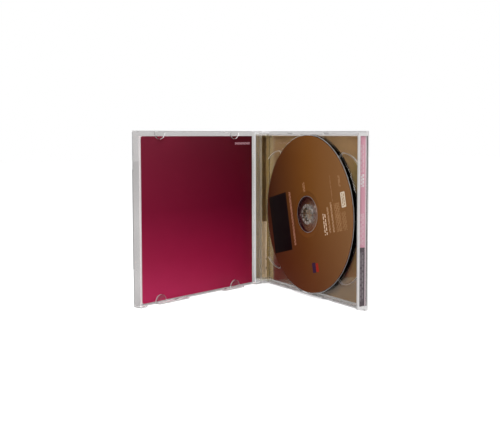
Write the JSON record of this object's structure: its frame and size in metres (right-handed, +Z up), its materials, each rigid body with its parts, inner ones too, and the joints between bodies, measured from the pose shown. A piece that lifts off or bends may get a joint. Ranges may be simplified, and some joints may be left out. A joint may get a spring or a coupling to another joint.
{
  "type": "double disc box",
  "caption": "Slim clear hinged disc box standing open, with a stapled booklet in the lid, an inlay card, and a swinging tray that holds a disc on each face.",
  "frame": {"origin": "on the lid's hinge axis, in the plane of the edge that the box stands on", "axes": "+Z up along the hinge axis; +X along the base from the hinge; +Y out of the base's back, so the box opens towards -Y"},
  "size_m": [0.142, 0.1356, 0.125],
  "materials": {
    "clear_lid": "gloss",
    "clear_base": "gloss",
    "clear_tray": "gloss",
    "clear_strip": "gloss",
    "booklet_print": "satin",
    "card_print": "satin",
    "disc_print": "gloss",
    "disc_dark": "gloss",
    "staple_wire": "satin"
  },
  "bodies": {
    "base_body": {"base": "clear_base", "inlay_card": "card_print", "tray_hinge_strip": "clear_strip"},
    "lid_body": {"front_lid": "clear_lid"},
    "booklet_body": {"booklet": "booklet_print", "booklet_staples": "staple_wire"},
    "tray_body": {"swing_tray": "clear_tray"},
    "front_disc_body": {"front_disc": "disc_print"},
    "back_disc_body": {"back_disc": "disc_dark"}
  },
  "joints": [
    {"name": "lid_hinge", "type": "hinge", "parent": "base_body", "child": "lid_body", "pos_m": [0, 0, 0.0625], "axis": [0, 0, -1], "range_deg": [-70, 110]},
    {"name": "tray_hinge", "type": "hinge", "parent": "base_body", "child": "tray_body", "pos_m": [0.0083, 0, 0.0625], "axis": [0, 0, -1], "range_deg": [0, 72]},
    {"name": "front_disc_turn", "type": "hinge", "parent": "tray_body", "child": "front_disc_body", "pos_m": [0.0703, -0.0019, 0.0625], "axis": [0, 1, 0], "continuous": true},
    {"name": "back_disc_turn", "type": "hinge", "parent": "tray_body", "child": "back_disc_body", "pos_m": [0.0703, 0.0019, 0.0625], "axis": [0, 1, 0], "continuous": true},
    {"name": "booklet_slide", "type": "slide", "parent": "lid_body", "child": "booklet_body", "axis": [0.342, -0.9397, 0], "range_m": [0, 0.107]}
  ]
}
